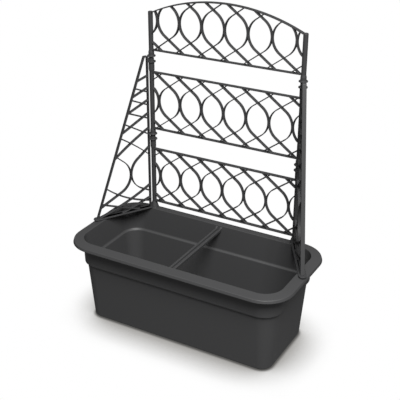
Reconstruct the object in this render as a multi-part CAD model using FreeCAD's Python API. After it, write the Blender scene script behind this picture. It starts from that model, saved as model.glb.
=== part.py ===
"""Planter with trellis: a stepped plastic tub with a cross strut, a trellis of three
stacked lattice panels between two jointed posts, and two side braces that swivel on the posts.

Millimetres. The origin is on the ground under the middle of the tub. +X runs along the tub,
+Y points from the open front to the trellis, +Z is up.
"""
import FreeCAD, Part

import math
import os

from FreeCAD import Vector

# ---------------------------------------------------------------- tub
TUB_LENGTH = 800.0          # over the rim
TUB_WIDTH = 400.0           # over the rim
TUB_HEIGHT = 300.0          # ground to the rim's inner edge
RIM_CORNER = 100.0          # plan radius of the rim's outer corners
RIM_FLANGE = 37.0           # width of the flange
RIM_FALL = 9.0              # the flange drops this much towards its outer edge
RIM_LIP = 6.5               # height of the turned-down lip
RIM_ROUND = 4.0             # rounding of the rim's outer edge
RIM_SOFT = 2.0              # rounding of the rim's inner edge
LIP_SOFT = 1.0              # rounding of the lip's lower edge
WALL = 3.5
BAND_DRAFT = 2.5            # the upper band narrows this much down to the step
STEP_HEIGHT = 204.0         # ground to the foot of the step
STEP_IN = 9.0               # the lower wall is set in by this much, over the same rise
STEP_ROUND = 4.0
BASE_INSET = 61.5           # the lower wall's foot, in from the rim's outline
BASE_ROUND = 6.0
BASE_RING = 16.0            # width of the ring that the tub stands on
FLOOR_LIFT = 4.0            # gap under the floor inside that ring
FLOOR_THICK = 4.0
FLOOR_ROUND = 12.0          # inside rounding between wall and floor
DRAIN_RADIUS = 5.0
DRAIN_COLUMNS = 2           # drain holes in each half of the floor, along the tub
DRAIN_ROWS = 2
DRAIN_PITCH_X = 170.0
DRAIN_PITCH_Y = 130.0

# ---------------------------------------------------------------- strut
STRUT_TOP = 289.0           # ground to the lips of the channel that ties the long walls
STRUT_WIDTH = 20.0          # over both lips
STRUT_LIP = 3.5             # width of a lip, and thickness of the channel's floor
STRUT_DEPTH = 6.0           # of the channel, under its lips
STRUT_LEAN = 30.0           # degrees that its sides lean in on their way down
STRUT_RISE = 8.0            # radius in which each lip rises to the rim
STRUT_SOFT = 1.0            # rounding of its lower edges

# ---------------------------------------------------------------- posts
POST_END_INSET = 127.0      # post axis in from the rim's end
POST_INSET = 18.0           # post axis in from the rim's back edge
POST_RADIUS = 8.0
SLEEVE_RADIUS = 9.75        # thicker ends, outside the panels
SLEEVE_TAPER = 8.0          # length over which a sleeve runs down to the post
COLLAR_RADIUS = 14.5
COLLAR_THICK = 4.0
NECK_RADIUS = 6.0           # bare stretch between two collars, and the spigot below it
NECK_LENGTH = 15.0
SPIGOT_LENGTH = 25.0        # inside the post below
SPIGOT_GAP = 0.15
SOCKET_END_GAP = 2.0        # below the end of a spigot or peg
SOCKET_RISE = 38.0          # top bar to the collar's outer face
PLUG_DROP = 23.0            # bottom bar down to the collar's outer face
FOOT_RADIUS = 14.5          # flared foot on the rim
FOOT_SEAT = 15.5            # radius of the raised seat under it
FOOT_HEIGHT = 22.0
FOOT_RIM = 2.0              # upright edge of the foot
PEG_LENGTH = 40.0           # of the foot, inside the rim's socket
PEG_TAPER = 2.0             # tapered tip of the pegs and spigots
SOCKET_WALL = 5.0           # of the socket tube under the flange
SOCKET_WEB = 4.0            # thickness of the web that ties the socket to the wall
POST_CAP_RISE = 5.5         # post top above the arch's springing
POST_CAP_ROUND = 2.5

# ---------------------------------------------------------------- lattice panels
FIRST_BAR = 324.0           # ground to the lowest bar's centre
PANEL_HEIGHT = 200.0        # between a panel's two bars, centre to centre
BAR_HEIGHT = 4.0
LATTICE_DEPTH = 13.0        # front to back, bars and strips
STRIP_WIDTH = 3.5
NODE_PITCH = 82.0           # between two places where the strips touch
BEND_RADIUS = 59.5          # of a strip where it touches its neighbour
BEND_TURN = 54.0            # degrees that it turns to each side before it runs straight
KISS_OVERLAP = 0.8          # the two strips are merged by this much where they touch
ARCH_RISE = 61.0            # of the top panel, over the post spread
ARCH_SPRING = 122.0         # top panel's bottom bar up to the arch's springing at the posts
TENON_LENGTH = 2.6          # bar end inside the post
TENON_GAP = 0.15
STRIP_END_GAP = 0.2         # strip ends to the post

# ---------------------------------------------------------------- side braces
BRACE_ANGLE = 30.5          # outward from straight ahead
BRACE_BAR = 17.0            # post axis to the middle of the upright bar
BRACE_BAR_WIDTH = 4.0
BRACE_TOP_RISE = 17.0       # upper joint to the middle of the short bar at the top
BRACE_TOP_REACH = 29.0      # post axis to the slanting bar, at the top
BRACE_FOOT_MARGIN = 1.0     # from there, at the base, to the middle of the pad
BRACE_ROUND = 2.5
BRACE_LIFT = 0.3            # base plate above the rim
BRACE_BASE_WIDTH = 20.0
BRACE_PAD_RADIUS = 13.0     # round end of the base plate
BRACE_PAD_MARGIN = 0.3      # from the pad to the rim's end
CLIP_GAP = 0.3              # to the collar below it
CLIP_PLAY = 0.1             # all round the neck
CLIP_WALL = 2.7
CLIP_HEIGHT = 11.0
CLIP_MOUTH = 9.0            # opening of the clip, on the side away from the brace
CLIP_WEB = 4.0
# The brace's lattice is drawn in percent: across, from the middle of the upright bar to the foot
# of the slanting bar, and up, from the base bar to the top bar.
# rungs: percent up at the upright bar, percent up at the slanting bar, upward bow in millimetres
BRACE_RUNGS = [
    (88.1, 85.3, 0.0),
    (80.5, 75.8, 0.0),
    (72.7, 65.8, 0.0),
    (64.2, 53.7, 0.0),
    (54.4, 37.8, 4.0),
    (77.6, 81.2, 0.0),
    (69.4, 74.1, 0.0),
    (60.7, 66.3, 0.0),
    (50.2, 59.5, 0.0),
    (36.5, 50.8, 4.0),
]
BRACE_NODE = (35.0, 25.5)   # place where its two long strips touch
BRACE_BEND_RADIUS = 68.0
BRACE_TURN_UP = 50.0
BRACE_TURN_DOWN = 63.0
# sagging strips low in the brace: one end, a middle point and the other end
BRACE_SAGS = [
    ((0.0, 15.9), (35.0, 8.8), (99.5, 0.1)),
    ((82.0, 19.5), (44.2, 10.1), (0.0, 4.6)),
    ((0.0, 7.0), (18.4, 4.5), (53.9, 0.1)),
    ((91.3, 9.2), (65.5, 5.7), (20.9, 0.1)),
]

# ---------------------------------------------------------------- derived places
POST_X = TUB_LENGTH / 2 - POST_END_INSET
POST_Y = TUB_WIDTH / 2 - POST_INSET
PANEL_PITCH = PANEL_HEIGHT + SOCKET_RISE + NECK_LENGTH + PLUG_DROP
PANEL_BOTTOMS = [FIRST_BAR + i * PANEL_PITCH for i in range(3)]
JOINT_HEIGHTS = [z + PANEL_HEIGHT + SOCKET_RISE for z in PANEL_BOTTOMS[:2]]
ARCH_FOOT = PANEL_BOTTOMS[2] + ARCH_SPRING
ARCH_RADIUS = (POST_X ** 2 + ARCH_RISE ** 2) / (2 * ARCH_RISE)
FLOOR_TOP = FLOOR_LIFT + FLOOR_THICK
LEDGE_HEIGHT = STEP_HEIGHT + STEP_IN
RING_INSET = BASE_INSET + BASE_RING
SOCKET_RADIUS = NECK_RADIUS + SPIGOT_GAP
SOCKET_BOTTOM = TUB_HEIGHT - PEG_LENGTH - SOCKET_END_GAP
BRACE_BASE = TUB_HEIGHT + BRACE_LIFT + BRACE_BAR_WIDTH / 2
BRACE_TOP = JOINT_HEIGHTS[-1] + BRACE_TOP_RISE
BRACE_OUTWARD = math.sin(math.radians(BRACE_ANGLE))
BRACE_PAD_REACH = (POST_END_INSET - BRACE_PAD_RADIUS - BRACE_PAD_MARGIN) / BRACE_OUTWARD
BRACE_FOOT_REACH = BRACE_PAD_REACH - BRACE_FOOT_MARGIN
BRACE_LEAN = (BRACE_FOOT_REACH - BRACE_TOP_REACH) / (BRACE_TOP - BRACE_BASE)
ORIGIN = Vector(0, 0, 0)
UP = Vector(0, 0, 1)


# ---------------------------------------------------------------- helpers
def point(x, z):
    return Vector(x, 0, z)


def face_of(curves):
    return Part.Face(Part.Wire([curve.toShape() for curve in curves]))


def outline_face(corners):
    """Face in the XZ plane from (x, z, rounding) corners, each rounding an arc."""
    spots = [point(x, z) for x, z, _ in corners]
    starts, bends, ends = [], [], []
    for i, (_, _, radius) in enumerate(corners):
        here = spots[i]
        into = (spots[i - 1] - here).normalize()
        out = (spots[(i + 1) % len(spots)] - here).normalize()
        half = into.getAngle(out) / 2
        starts.append(here + into * (radius / math.tan(half)))
        bends.append(here + (into + out).normalize() * (radius / math.sin(half) - radius))
        ends.append(here + out * (radius / math.tan(half)))
    curves = []
    for i, (_, _, radius) in enumerate(corners):
        if radius > 0:
            curves.append(Part.Arc(starts[i], bends[i], ends[i]))
        curves.append(Part.LineSegment(ends[i], starts[(i + 1) % len(spots)]))
    return face_of(curves)


def turned(profile):
    """Solid of revolution about Z from (radius, z) points that start and end on the axis."""
    points = [point(r, z) for r, z in profile]
    face = Part.Face(Part.makePolygon(points + points[:1]))
    return face.revolve(ORIGIN, UP, 360)


def cylinder(radius, bottom, top, x=0.0, y=0.0):
    return Part.makeCylinder(radius, top - bottom, Vector(x, y, bottom))


def block(x, y, z):
    """Box from (low, high) pairs."""
    return Part.makeBox(x[1] - x[0], y[1] - y[0], z[1] - z[0], Vector(x[0], y[0], z[0]))


def thickened(face, depth):
    """Plate of a face in the XZ plane, centred on that plane."""
    plate = face.extrude(Vector(0, depth, 0))
    plate.translate(Vector(0, -depth / 2, 0))
    return plate


def merged(shapes):
    """One clean shape from several that touch or overlap."""
    joined = shapes[0].multiFuse(shapes[1:]).removeSplitter()
    return joined.Solids[0] if len(joined.Solids) == 1 else joined


def without(shape, cutters):
    rest = shape.cut(Part.makeCompound(cutters))
    return rest.Solids[0] if len(rest.Solids) == 1 else rest


def mirrored(shape):
    """The same piece for the other end of the tub."""
    return shape.mirror(ORIGIN, Vector(1, 0, 0))


# ---------------------------------------------------------------- tub
def flange_top(inset):
    """Height of the flange's upper face, at a distance in from the rim's outline."""
    return TUB_HEIGHT - RIM_FALL * (1 - inset / RIM_FLANGE)


def lower_wall_inset(z):
    """The lower wall's outer face, in from the rim's outline, at height z."""
    step_foot = RIM_FLANGE - WALL + BAND_DRAFT + STEP_IN
    return BASE_INSET + (step_foot - BASE_INSET) * z / STEP_HEIGHT


def band_inset(z):
    """The same for the upper band."""
    return RIM_FLANGE - WALL + BAND_DRAFT * (TUB_HEIGHT - z) / (TUB_HEIGHT - LEDGE_HEIGHT)


def wall_section():
    """Section of the tub's wall and rim; x is the distance from a corner's centre."""
    under = flange_top(RIM_FLANGE - WALL) - WALL
    lip_top = TUB_HEIGHT - RIM_FALL
    lip_bottom = lip_top - RIM_LIP
    corners = [
        (RING_INSET, 0, 0),
        (lower_wall_inset(0), 0, BASE_ROUND),
        (lower_wall_inset(STEP_HEIGHT), STEP_HEIGHT, STEP_ROUND),
        (band_inset(LEDGE_HEIGHT), LEDGE_HEIGHT, STEP_ROUND),
        (band_inset(under), under, WALL),
        (WALL, flange_top(WALL) - WALL, 0),
        (WALL, lip_bottom, 0),
        (0, lip_bottom, LIP_SOFT),
        (0, lip_top, RIM_ROUND),
        (RIM_FLANGE, TUB_HEIGHT, RIM_SOFT),
        (band_inset(LEDGE_HEIGHT) + WALL, LEDGE_HEIGHT + WALL, STEP_ROUND),
        (lower_wall_inset(STEP_HEIGHT) + WALL, STEP_HEIGHT + WALL, STEP_ROUND),
        (lower_wall_inset(FLOOR_TOP) + WALL, FLOOR_TOP, FLOOR_ROUND),
        (RING_INSET, FLOOR_TOP, 0),
    ]
    return outline_face([(RIM_CORNER - inset, z, r) for inset, z, r in corners])


def carried_round(section):
    """Carry the section once round the tub: four turned corners and four straight walls."""
    half_x = TUB_LENGTH / 2 - RIM_CORNER
    half_y = TUB_WIDTH / 2 - RIM_CORNER
    signs = [(1, 1), (-1, 1), (-1, -1), (1, -1)]
    centres = [Vector(sx * half_x, sy * half_y, 0) for sx, sy in signs]
    pieces = []
    for quarter, centre in enumerate(centres):
        start = section.copy()
        start.rotate(ORIGIN, UP, 90 * quarter)
        start.translate(centre)
        pieces.append(start.revolve(centre, UP, 90))
        start.rotate(centre, UP, 90)
        pieces.append(start.extrude(centres[(quarter + 1) % 4] - centre))
    return pieces


def floor_plate():
    """Raised floor inside the ring that the tub stands on."""
    x = TUB_LENGTH / 2 - RING_INSET
    y = TUB_WIDTH / 2 - RING_INSET
    radius = RIM_CORNER - RING_INSET
    plate = outline_face([(-x, -y, radius), (x, -y, radius), (x, y, radius), (-x, y, radius)])
    plate.rotate(ORIGIN, Vector(1, 0, 0), -90)
    plate.translate(Vector(0, 0, FLOOR_LIFT))
    return plate.extrude(UP * FLOOR_THICK)


def drain_holes():
    """A grid of holes in the middle of each half of the floor."""
    middle = (TUB_LENGTH / 2 - BASE_INSET) / 2
    holes = []
    for side in (-1, 1):
        for i in range(DRAIN_COLUMNS):
            for j in range(DRAIN_ROWS):
                x = side * middle + (i - (DRAIN_COLUMNS - 1) / 2) * DRAIN_PITCH_X
                y = (j - (DRAIN_ROWS - 1) / 2) * DRAIN_PITCH_Y
                holes.append(cylinder(DRAIN_RADIUS, 0, FLOOR_TOP + WALL, x, y))
    return holes


def post_socket(x):
    """Raised seat on the flange for a post's foot, with a socket tube under it."""
    under = flange_top(POST_INSET) - WALL
    half = SOCKET_WEB / 2
    wall_y = TUB_WIDTH / 2 - band_inset(SOCKET_BOTTOM) - WALL / 2
    seat = cylinder(FOOT_SEAT, under, TUB_HEIGHT, x, POST_Y)
    tube = cylinder(SOCKET_RADIUS + SOCKET_WALL, SOCKET_BOTTOM, TUB_HEIGHT, x, POST_Y)
    web = block((x - half, x + half), (wall_y, POST_Y), (SOCKET_BOTTOM, under + WALL / 2))
    return [seat, tube, web]


def strut_bar(inset, bottom, top):
    """Bar along Y with leaning sides, each in by an inset from the strut's own."""
    slope = math.tan(math.radians(STRUT_LEAN))
    low = STRUT_WIDTH / 2 - inset - (STRUT_TOP - bottom) * slope
    high = STRUT_WIDTH / 2 - inset - (STRUT_TOP - top) * slope
    section = [(-low, bottom, STRUT_SOFT), (low, bottom, STRUT_SOFT), (high, top, 0), (-high, top, 0)]
    return thickened(outline_face(section), TUB_WIDTH)


def strut():
    """Channel across the middle of the tub, whose lips rise to the rim at both ends."""
    rim = TUB_HEIGHT - RIM_SOFT
    bottom = STRUT_TOP - STRUT_DEPTH - STRUT_LIP
    wall = TUB_WIDTH / 2 - RIM_FLANGE
    end = wall + WALL / 2
    half = [(end, bottom, 0), (end, rim, 0), (wall, rim, 0), (wall, STRUT_TOP, STRUT_RISE)]
    side = thickened(outline_face(half + [(-y, z, r) for y, z, r in reversed(half)]), TUB_WIDTH)
    side.rotate(ORIGIN, UP, 90)
    channel = strut_bar(STRUT_LIP, STRUT_TOP - STRUT_DEPTH, TUB_HEIGHT)
    return without(strut_bar(0, bottom, TUB_HEIGHT).common(side), [channel])


def tub():
    shell = merged(carried_round(wall_section()) + [floor_plate(), strut()])
    body = merged([shell] + post_socket(-POST_X) + post_socket(POST_X))
    top = TUB_HEIGHT + WALL
    sockets = [cylinder(SOCKET_RADIUS, SOCKET_BOTTOM - WALL, top, x, POST_Y) for x in (-POST_X, POST_X)]
    return without(body, sockets + drain_holes())


# ---------------------------------------------------------------- strips
def straight_strip(a, b):
    """Lattice strip between two points of the XZ plane."""
    across = (b - a).normalize().cross(Vector(0, 1, 0)) * (STRIP_WIDTH / 2)
    corners = [a + across, b + across, b - across, a - across, a + across]
    return thickened(Part.Face(Part.makePolygon(corners)), LATTICE_DEPTH)


def bowed_strip(a, middle, b):
    """Lattice strip along the arc through three points."""
    centre = Part.Arc(a, middle, b).toShape().Curve.Center

    def edge(points, offset):
        return [p + (p - centre).normalize() * offset for p in points]

    outer = edge((a, middle, b), STRIP_WIDTH / 2)
    inner = edge((b, middle, a), -STRIP_WIDTH / 2)
    face = face_of([
        Part.Arc(*outer),
        Part.LineSegment(outer[2], inner[0]),
        Part.Arc(*inner),
        Part.LineSegment(inner[2], outer[0]),
    ])
    return thickened(face, LATTICE_DEPTH)


def bent_strip(node, side, radius, turn_up, turn_down, reach):
    """Lattice strip that bulges at a node and runs straight on, by a reach, to both ends.

    side is 1 for a strip like ")", which stands left of the node, and -1 for one like "(".
    Each strip passes the node by half the kiss overlap, so the two merge there.
    """
    half = STRIP_WIDTH / 2
    centre = node - point(side * (radius + half - KISS_OVERLAP / 2), 0)

    def branch(offset, turn, sense):
        """End of the bend, and of the straight run after it."""
        angle = math.radians(turn)
        bend = centre + point(side * math.cos(angle), sense * math.sin(angle)) * (radius + offset)
        return bend, bend + point(-side * math.sin(angle), sense * math.cos(angle)) * reach

    def crown(offset):
        return centre + point(side * (radius + offset), 0)

    up, up_end = branch(half, turn_up, 1)
    down, down_end = branch(half, turn_down, -1)
    inner_up, inner_up_end = branch(-half, turn_up, 1)
    inner_down, inner_down_end = branch(-half, turn_down, -1)
    face = face_of([
        Part.LineSegment(up_end, up),
        Part.Arc(up, crown(half), down),
        Part.LineSegment(down, down_end),
        Part.LineSegment(down_end, inner_down_end),
        Part.LineSegment(inner_down_end, inner_down),
        Part.Arc(inner_down, crown(-half), inner_up),
        Part.LineSegment(inner_up, inner_up_end),
        Part.LineSegment(inner_up_end, up_end),
    ])
    return thickened(face, LATTICE_DEPTH)


# ---------------------------------------------------------------- lattice panels
def panel_strips(level):
    """All the strips of one panel, running on past its bars and posts."""
    middle = PANEL_BOTTOMS[level] + PANEL_HEIGHT / 2
    last = math.ceil(POST_X / NODE_PITCH)
    strips = []
    for k in range(-last, last + 1):
        for side in (-1, 1):
            node = point(k * NODE_PITCH, middle)
            strips.append(bent_strip(node, side, BEND_RADIUS, BEND_TURN, BEND_TURN, PANEL_HEIGHT))
    return merged(strips)


def trimmed(strips, window):
    """Strips inside a panel's window, cut just short of both posts."""
    clear = POST_RADIUS + STRIP_END_GAP
    posts = [cylinder(clear, 0, ARCH_FOOT + ARCH_RISE, x) for x in (-POST_X, POST_X)]
    return without(strips.common(window), posts)


def straight_bar(height):
    half = BAR_HEIGHT / 2
    reach = POST_X - POST_RADIUS + TENON_LENGTH
    return block((-reach, reach), (-LATTICE_DEPTH / 2, LATTICE_DEPTH / 2), (height - half, height + half))


def flat_panel(level):
    """Panel with two straight bars, at its place over the tub's back edge."""
    bottom = PANEL_BOTTOMS[level]
    top = bottom + PANEL_HEIGHT
    window = block((-POST_X, POST_X), (-LATTICE_DEPTH, LATTICE_DEPTH), (bottom, top))
    panel = merged([trimmed(panel_strips(level), window), straight_bar(bottom), straight_bar(top)])
    panel.translate(Vector(0, POST_Y, 0))
    return panel


def arch_point(x, offset):
    """Point on the arch's centre line, moved up across it by an offset."""
    centre = ARCH_FOOT + ARCH_RISE - ARCH_RADIUS
    return point(x, centre + math.sqrt((ARCH_RADIUS + offset) ** 2 - x ** 2))


def arch_bar(reach, half_height, depth):
    """Arched bar, out to a reach on both sides."""
    outer = [arch_point(x, half_height) for x in (-reach, 0, reach)]
    inner = [arch_point(x, -half_height) for x in (reach, 0, -reach)]
    face = face_of([
        Part.Arc(*outer),
        Part.LineSegment(outer[2], inner[0]),
        Part.Arc(*inner),
        Part.LineSegment(inner[2], outer[0]),
    ])
    return thickened(face, depth)


def arched_window():
    """Window of the top panel, from its bar up to the arch's centre line."""
    bottom = PANEL_BOTTOMS[2]
    crown = [arch_point(x, 0) for x in (POST_X, 0, -POST_X)]
    face = face_of([
        Part.LineSegment(point(-POST_X, bottom), point(POST_X, bottom)),
        Part.LineSegment(point(POST_X, bottom), crown[0]),
        Part.Arc(*crown),
        Part.LineSegment(crown[2], point(-POST_X, bottom)),
    ])
    return thickened(face, 2 * LATTICE_DEPTH)


def arched_panel():
    """Top panel: a straight bar below and an arched one above."""
    arch = arch_bar(POST_X - POST_RADIUS + TENON_LENGTH, BAR_HEIGHT / 2, LATTICE_DEPTH)
    strips = trimmed(panel_strips(2), arched_window())
    panel = merged([strips, straight_bar(PANEL_BOTTOMS[2]), arch])
    panel.translate(Vector(0, POST_Y, 0))
    return panel


# ---------------------------------------------------------------- posts
def peg_profile(end, top):
    """Round peg with a tapered end."""
    return [
        (0, end),
        (NECK_RADIUS - PEG_TAPER / 2, end),
        (NECK_RADIUS, end + PEG_TAPER),
        (NECK_RADIUS, top),
    ]


def foot_profile():
    """Peg that drops into the rim's socket, and the flared foot above it."""
    return peg_profile(TUB_HEIGHT - PEG_LENGTH, TUB_HEIGHT) + [
        (FOOT_RADIUS, TUB_HEIGHT),
        (FOOT_RADIUS, TUB_HEIGHT + FOOT_RIM),
        (POST_RADIUS, TUB_HEIGHT + FOOT_HEIGHT),
    ]


def lower_end_profile(bar):
    """Spigot, neck, collar and sleeve under a segment's bottom bar."""
    face_height = bar - PLUG_DROP
    return peg_profile(face_height - NECK_LENGTH - SPIGOT_LENGTH, face_height) + [
        (COLLAR_RADIUS, face_height),
        (COLLAR_RADIUS, face_height + COLLAR_THICK),
        (SLEEVE_RADIUS, face_height + COLLAR_THICK),
        (SLEEVE_RADIUS, bar - SLEEVE_TAPER),
        (POST_RADIUS, bar),
    ]


def upper_end_profile(bar):
    """Sleeve and collar over a segment's top bar, closed over to the axis."""
    face_height = bar + SOCKET_RISE
    return [
        (POST_RADIUS, bar),
        (SLEEVE_RADIUS, bar + SLEEVE_TAPER),
        (SLEEVE_RADIUS, face_height - COLLAR_THICK),
        (COLLAR_RADIUS, face_height - COLLAR_THICK),
        (COLLAR_RADIUS, face_height),
        (0, face_height),
    ]


def cap_profile():
    """Rounded-off top of the uppermost segment."""
    top = ARCH_FOOT + POST_CAP_RISE
    return [(POST_RADIUS, top - POST_CAP_ROUND), (POST_RADIUS - POST_CAP_ROUND, top), (0, top)]


def post_bore(bar):
    """Bore for the spigot of the segment above."""
    face_height = bar + SOCKET_RISE
    depth = SPIGOT_LENGTH + SOCKET_END_GAP
    return cylinder(SOCKET_RADIUS, face_height - depth, face_height + COLLAR_THICK)


def bar_mortise(bar):
    """Pocket in the left post for a straight bar's end, seen from the post's axis."""
    wide = LATTICE_DEPTH / 2 + TENON_GAP
    tall = BAR_HEIGHT / 2 + TENON_GAP
    floor = POST_RADIUS - TENON_LENGTH - TENON_GAP
    return block((floor, COLLAR_RADIUS), (-wide, wide), (bar - tall, bar + tall))


def arch_mortise():
    """Notch in the left post for the arch's end, open at the top."""
    slab = arch_bar(POST_X, BAR_HEIGHT / 2 + TENON_GAP, LATTICE_DEPTH + 2 * TENON_GAP)
    above = slab.translated(Vector(0, 0, BAR_HEIGHT))
    floor = POST_RADIUS - TENON_LENGTH - TENON_GAP
    notch = merged([slab, above]).translated(Vector(POST_X, 0, 0))
    z = (ARCH_FOOT - BAR_HEIGHT, ARCH_FOOT + ARCH_RISE)
    return notch.common(block((floor, COLLAR_RADIUS), (-LATTICE_DEPTH, LATTICE_DEPTH), z))


def left_post(level):
    """One length of the left post: 0 stands on the rim, 2 has the cap."""
    bottom_bar = PANEL_BOTTOMS[level]
    top_bar = bottom_bar + PANEL_HEIGHT
    profile = foot_profile() if level == 0 else lower_end_profile(bottom_bar)
    cuts = [bar_mortise(bottom_bar)]
    if level == 2:
        profile += cap_profile()
        cuts.append(arch_mortise())
    else:
        profile += upper_end_profile(top_bar)
        cuts += [bar_mortise(top_bar), post_bore(top_bar)]
    post = without(turned(profile), cuts)
    post.translate(Vector(-POST_X, POST_Y, 0))
    return post


# ---------------------------------------------------------------- side braces
def slant_reach(height):
    """Post axis to the middle of the slanting bar, at a height."""
    return BRACE_TOP_REACH + (BRACE_TOP - height) * BRACE_LEAN


def brace_triangle(offset, rounding):
    """Face inside the centre lines of the brace's bars, grown by an offset."""
    sideways = offset * math.hypot(1, BRACE_LEAN)
    low = BRACE_BASE - offset
    high = BRACE_TOP + offset
    return outline_face([
        (BRACE_BAR - offset, low, rounding),
        (slant_reach(low) + sideways, low, rounding),
        (slant_reach(high) + sideways, high, rounding),
        (BRACE_BAR - offset, high, rounding),
    ])


def brace_point(across, up):
    """Place in the brace from percents."""
    reach = BRACE_BAR + (BRACE_FOOT_REACH - BRACE_BAR) * across / 100
    return point(reach, BRACE_BASE + (BRACE_TOP - BRACE_BASE) * up / 100)


def brace_rung(at_bar, at_slant, bow):
    a = brace_point(0, at_bar)
    b = brace_point(0, at_slant)
    b.x = slant_reach(b.z)
    if bow == 0:
        return straight_strip(a, b)
    return bowed_strip(a, (a + b) * 0.5 + point(0, bow), b)


def brace_strips():
    """The brace's lattice, trimmed to the centre lines of its bars."""
    node = brace_point(*BRACE_NODE)
    turns = (BRACE_BEND_RADIUS, BRACE_TURN_UP, BRACE_TURN_DOWN)
    strips = [brace_rung(*rung) for rung in BRACE_RUNGS]
    strips += [bent_strip(node, side, *turns, BRACE_FOOT_REACH) for side in (-1, 1)]
    strips += [bowed_strip(*[brace_point(*p) for p in sag]) for sag in BRACE_SAGS]
    return merged(strips).common(thickened(brace_triangle(0, 0), 2 * LATTICE_DEPTH))


def brace_base():
    """Flat plate along the foot, with a round end that lies on the rim."""
    half = BRACE_BASE_WIDTH / 2
    z = (BRACE_BASE - BRACE_BAR_WIDTH / 2, BRACE_BASE + BRACE_BAR_WIDTH / 2)
    plate = block((BRACE_BAR - BRACE_BAR_WIDTH / 2, BRACE_PAD_REACH), (-half, half), z)
    return [plate, cylinder(BRACE_PAD_RADIUS, z[0], z[1], BRACE_PAD_REACH)]


def brace_clip(joint):
    """Open ring round the neck above a joint, and the web that ties it to the upright bar."""
    z = (joint + CLIP_GAP, joint + CLIP_GAP + CLIP_HEIGHT)
    inner = NECK_RADIUS + CLIP_PLAY
    outer = inner + CLIP_WALL
    web = block((0, BRACE_BAR), (-CLIP_WEB / 2, CLIP_WEB / 2), z)
    mouth = block((-2 * outer, 0), (-CLIP_MOUTH / 2, CLIP_MOUTH / 2), z)
    return without(merged([cylinder(outer, *z), web]), [cylinder(inner, *z), mouth])


def left_brace():
    """The brace is drawn with the post on the Z axis, then turned and set on the left post."""
    half = BRACE_BAR_WIDTH / 2
    outline = brace_triangle(half, BRACE_ROUND).cut(brace_triangle(-half, BRACE_ROUND))
    frame = thickened(outline, LATTICE_DEPTH)
    clips = [brace_clip(joint) for joint in JOINT_HEIGHTS]
    brace = merged([frame, brace_strips()] + brace_base() + clips)
    brace.rotate(ORIGIN, UP, 270 - BRACE_ANGLE)
    brace.translate(Vector(-POST_X, POST_Y, 0))
    return brace


# ---------------------------------------------------------------- export
def all_parts():
    parts = {
        "tub": tub(),
        "lattice_lower": flat_panel(0),
        "lattice_middle": flat_panel(1),
        "lattice_upper": arched_panel(),
    }
    left = {
        "post_lower": left_post(0),
        "post_middle": left_post(1),
        "post_upper": left_post(2),
        "brace": left_brace(),
    }
    for name, shape in left.items():
        parts["left_" + name] = shape
        parts["right_" + name] = mirrored(shape)
    return parts


os.makedirs("parts", exist_ok=True)
for name, shape in all_parts().items():
    shape.exportStep("parts/" + name + ".step")
    box = shape.BoundBox
    size = " x ".join("%.1f" % v for v in (box.XLength, box.YLength, box.ZLength))
    print(name, "solids", len(shape.Solids), "valid", shape.isValid(), "size", size)
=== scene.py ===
# %% [markdown]
# # Planter with trellis
# A long plastic tub with a stepped wall stands on the floor. Three lattice panels between two
# jointed posts rise from its back rim, and two lattice braces are clipped to the posts.
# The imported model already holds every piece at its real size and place. This lesson gives those
# pieces the looks of one dark moulded plastic: soft edges, even shading and a fine grain.

import math

import bmesh
import bpy
import numpy as np
from mathutils import Matrix, Vector
from mathutils.geometry import tessellate_polygon


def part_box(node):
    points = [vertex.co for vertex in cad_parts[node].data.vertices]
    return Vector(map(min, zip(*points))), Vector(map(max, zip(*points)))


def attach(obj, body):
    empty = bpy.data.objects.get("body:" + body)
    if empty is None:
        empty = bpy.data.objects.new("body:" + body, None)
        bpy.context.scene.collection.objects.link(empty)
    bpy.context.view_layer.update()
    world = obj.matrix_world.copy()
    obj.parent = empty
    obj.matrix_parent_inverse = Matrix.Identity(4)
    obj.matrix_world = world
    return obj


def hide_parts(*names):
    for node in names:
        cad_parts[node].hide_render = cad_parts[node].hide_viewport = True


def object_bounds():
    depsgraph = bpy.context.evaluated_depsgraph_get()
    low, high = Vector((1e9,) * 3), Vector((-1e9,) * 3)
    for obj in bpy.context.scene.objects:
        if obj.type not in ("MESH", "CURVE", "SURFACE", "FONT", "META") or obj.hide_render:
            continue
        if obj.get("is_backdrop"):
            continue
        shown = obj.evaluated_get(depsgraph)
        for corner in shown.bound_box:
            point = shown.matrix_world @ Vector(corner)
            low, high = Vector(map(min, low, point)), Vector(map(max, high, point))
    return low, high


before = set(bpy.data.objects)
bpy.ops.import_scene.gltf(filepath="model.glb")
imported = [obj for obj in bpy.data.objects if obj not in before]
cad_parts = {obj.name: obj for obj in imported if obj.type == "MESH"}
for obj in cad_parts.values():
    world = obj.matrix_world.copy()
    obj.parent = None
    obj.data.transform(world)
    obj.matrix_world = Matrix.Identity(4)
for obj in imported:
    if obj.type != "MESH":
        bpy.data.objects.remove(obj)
MM = 0.001
tub_low, tub_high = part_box("tub")
print("pieces in the model:", sorted(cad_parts))
print("the tub measures", [round(v, 3) for v in tub_high - tub_low])

# %% [markdown]
# ## From grids of points to meshes
# Almost every moulded piece here is a grid: rows are stations along a path, and columns are the
# points of a section. Worked out as whole arrays, a grid is short to write and has no seams by
# accident. The helper below only has to number the four corners of each cell. Open ends, such
# as the end of a bar, are closed by one flat face each.

# %% Skins


def skin(points, wrap_rows=False, wrap_columns=True, capped=False):
    """Vertices and faces of a (rows, columns, 3) grid; capped closes its first and last row."""
    rows, columns = points.shape[:2]
    i = np.arange(rows if wrap_rows else rows - 1)[:, None]
    j = np.arange(columns if wrap_columns else columns - 1)[None, :]
    i_next, j_next = (i + 1) % rows, (j + 1) % columns
    here, after = i * columns, i_next * columns
    corners = [here + j, here + j_next, after + j_next, after + j]
    faces = np.stack(np.broadcast_arrays(*corners), axis=-1).reshape(-1, 4).tolist()
    if capped:
        faces.append(list(range(columns)))
        faces.append(list(range((rows - 1) * columns, rows * columns)))
    return points.reshape(-1, 3), faces


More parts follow.
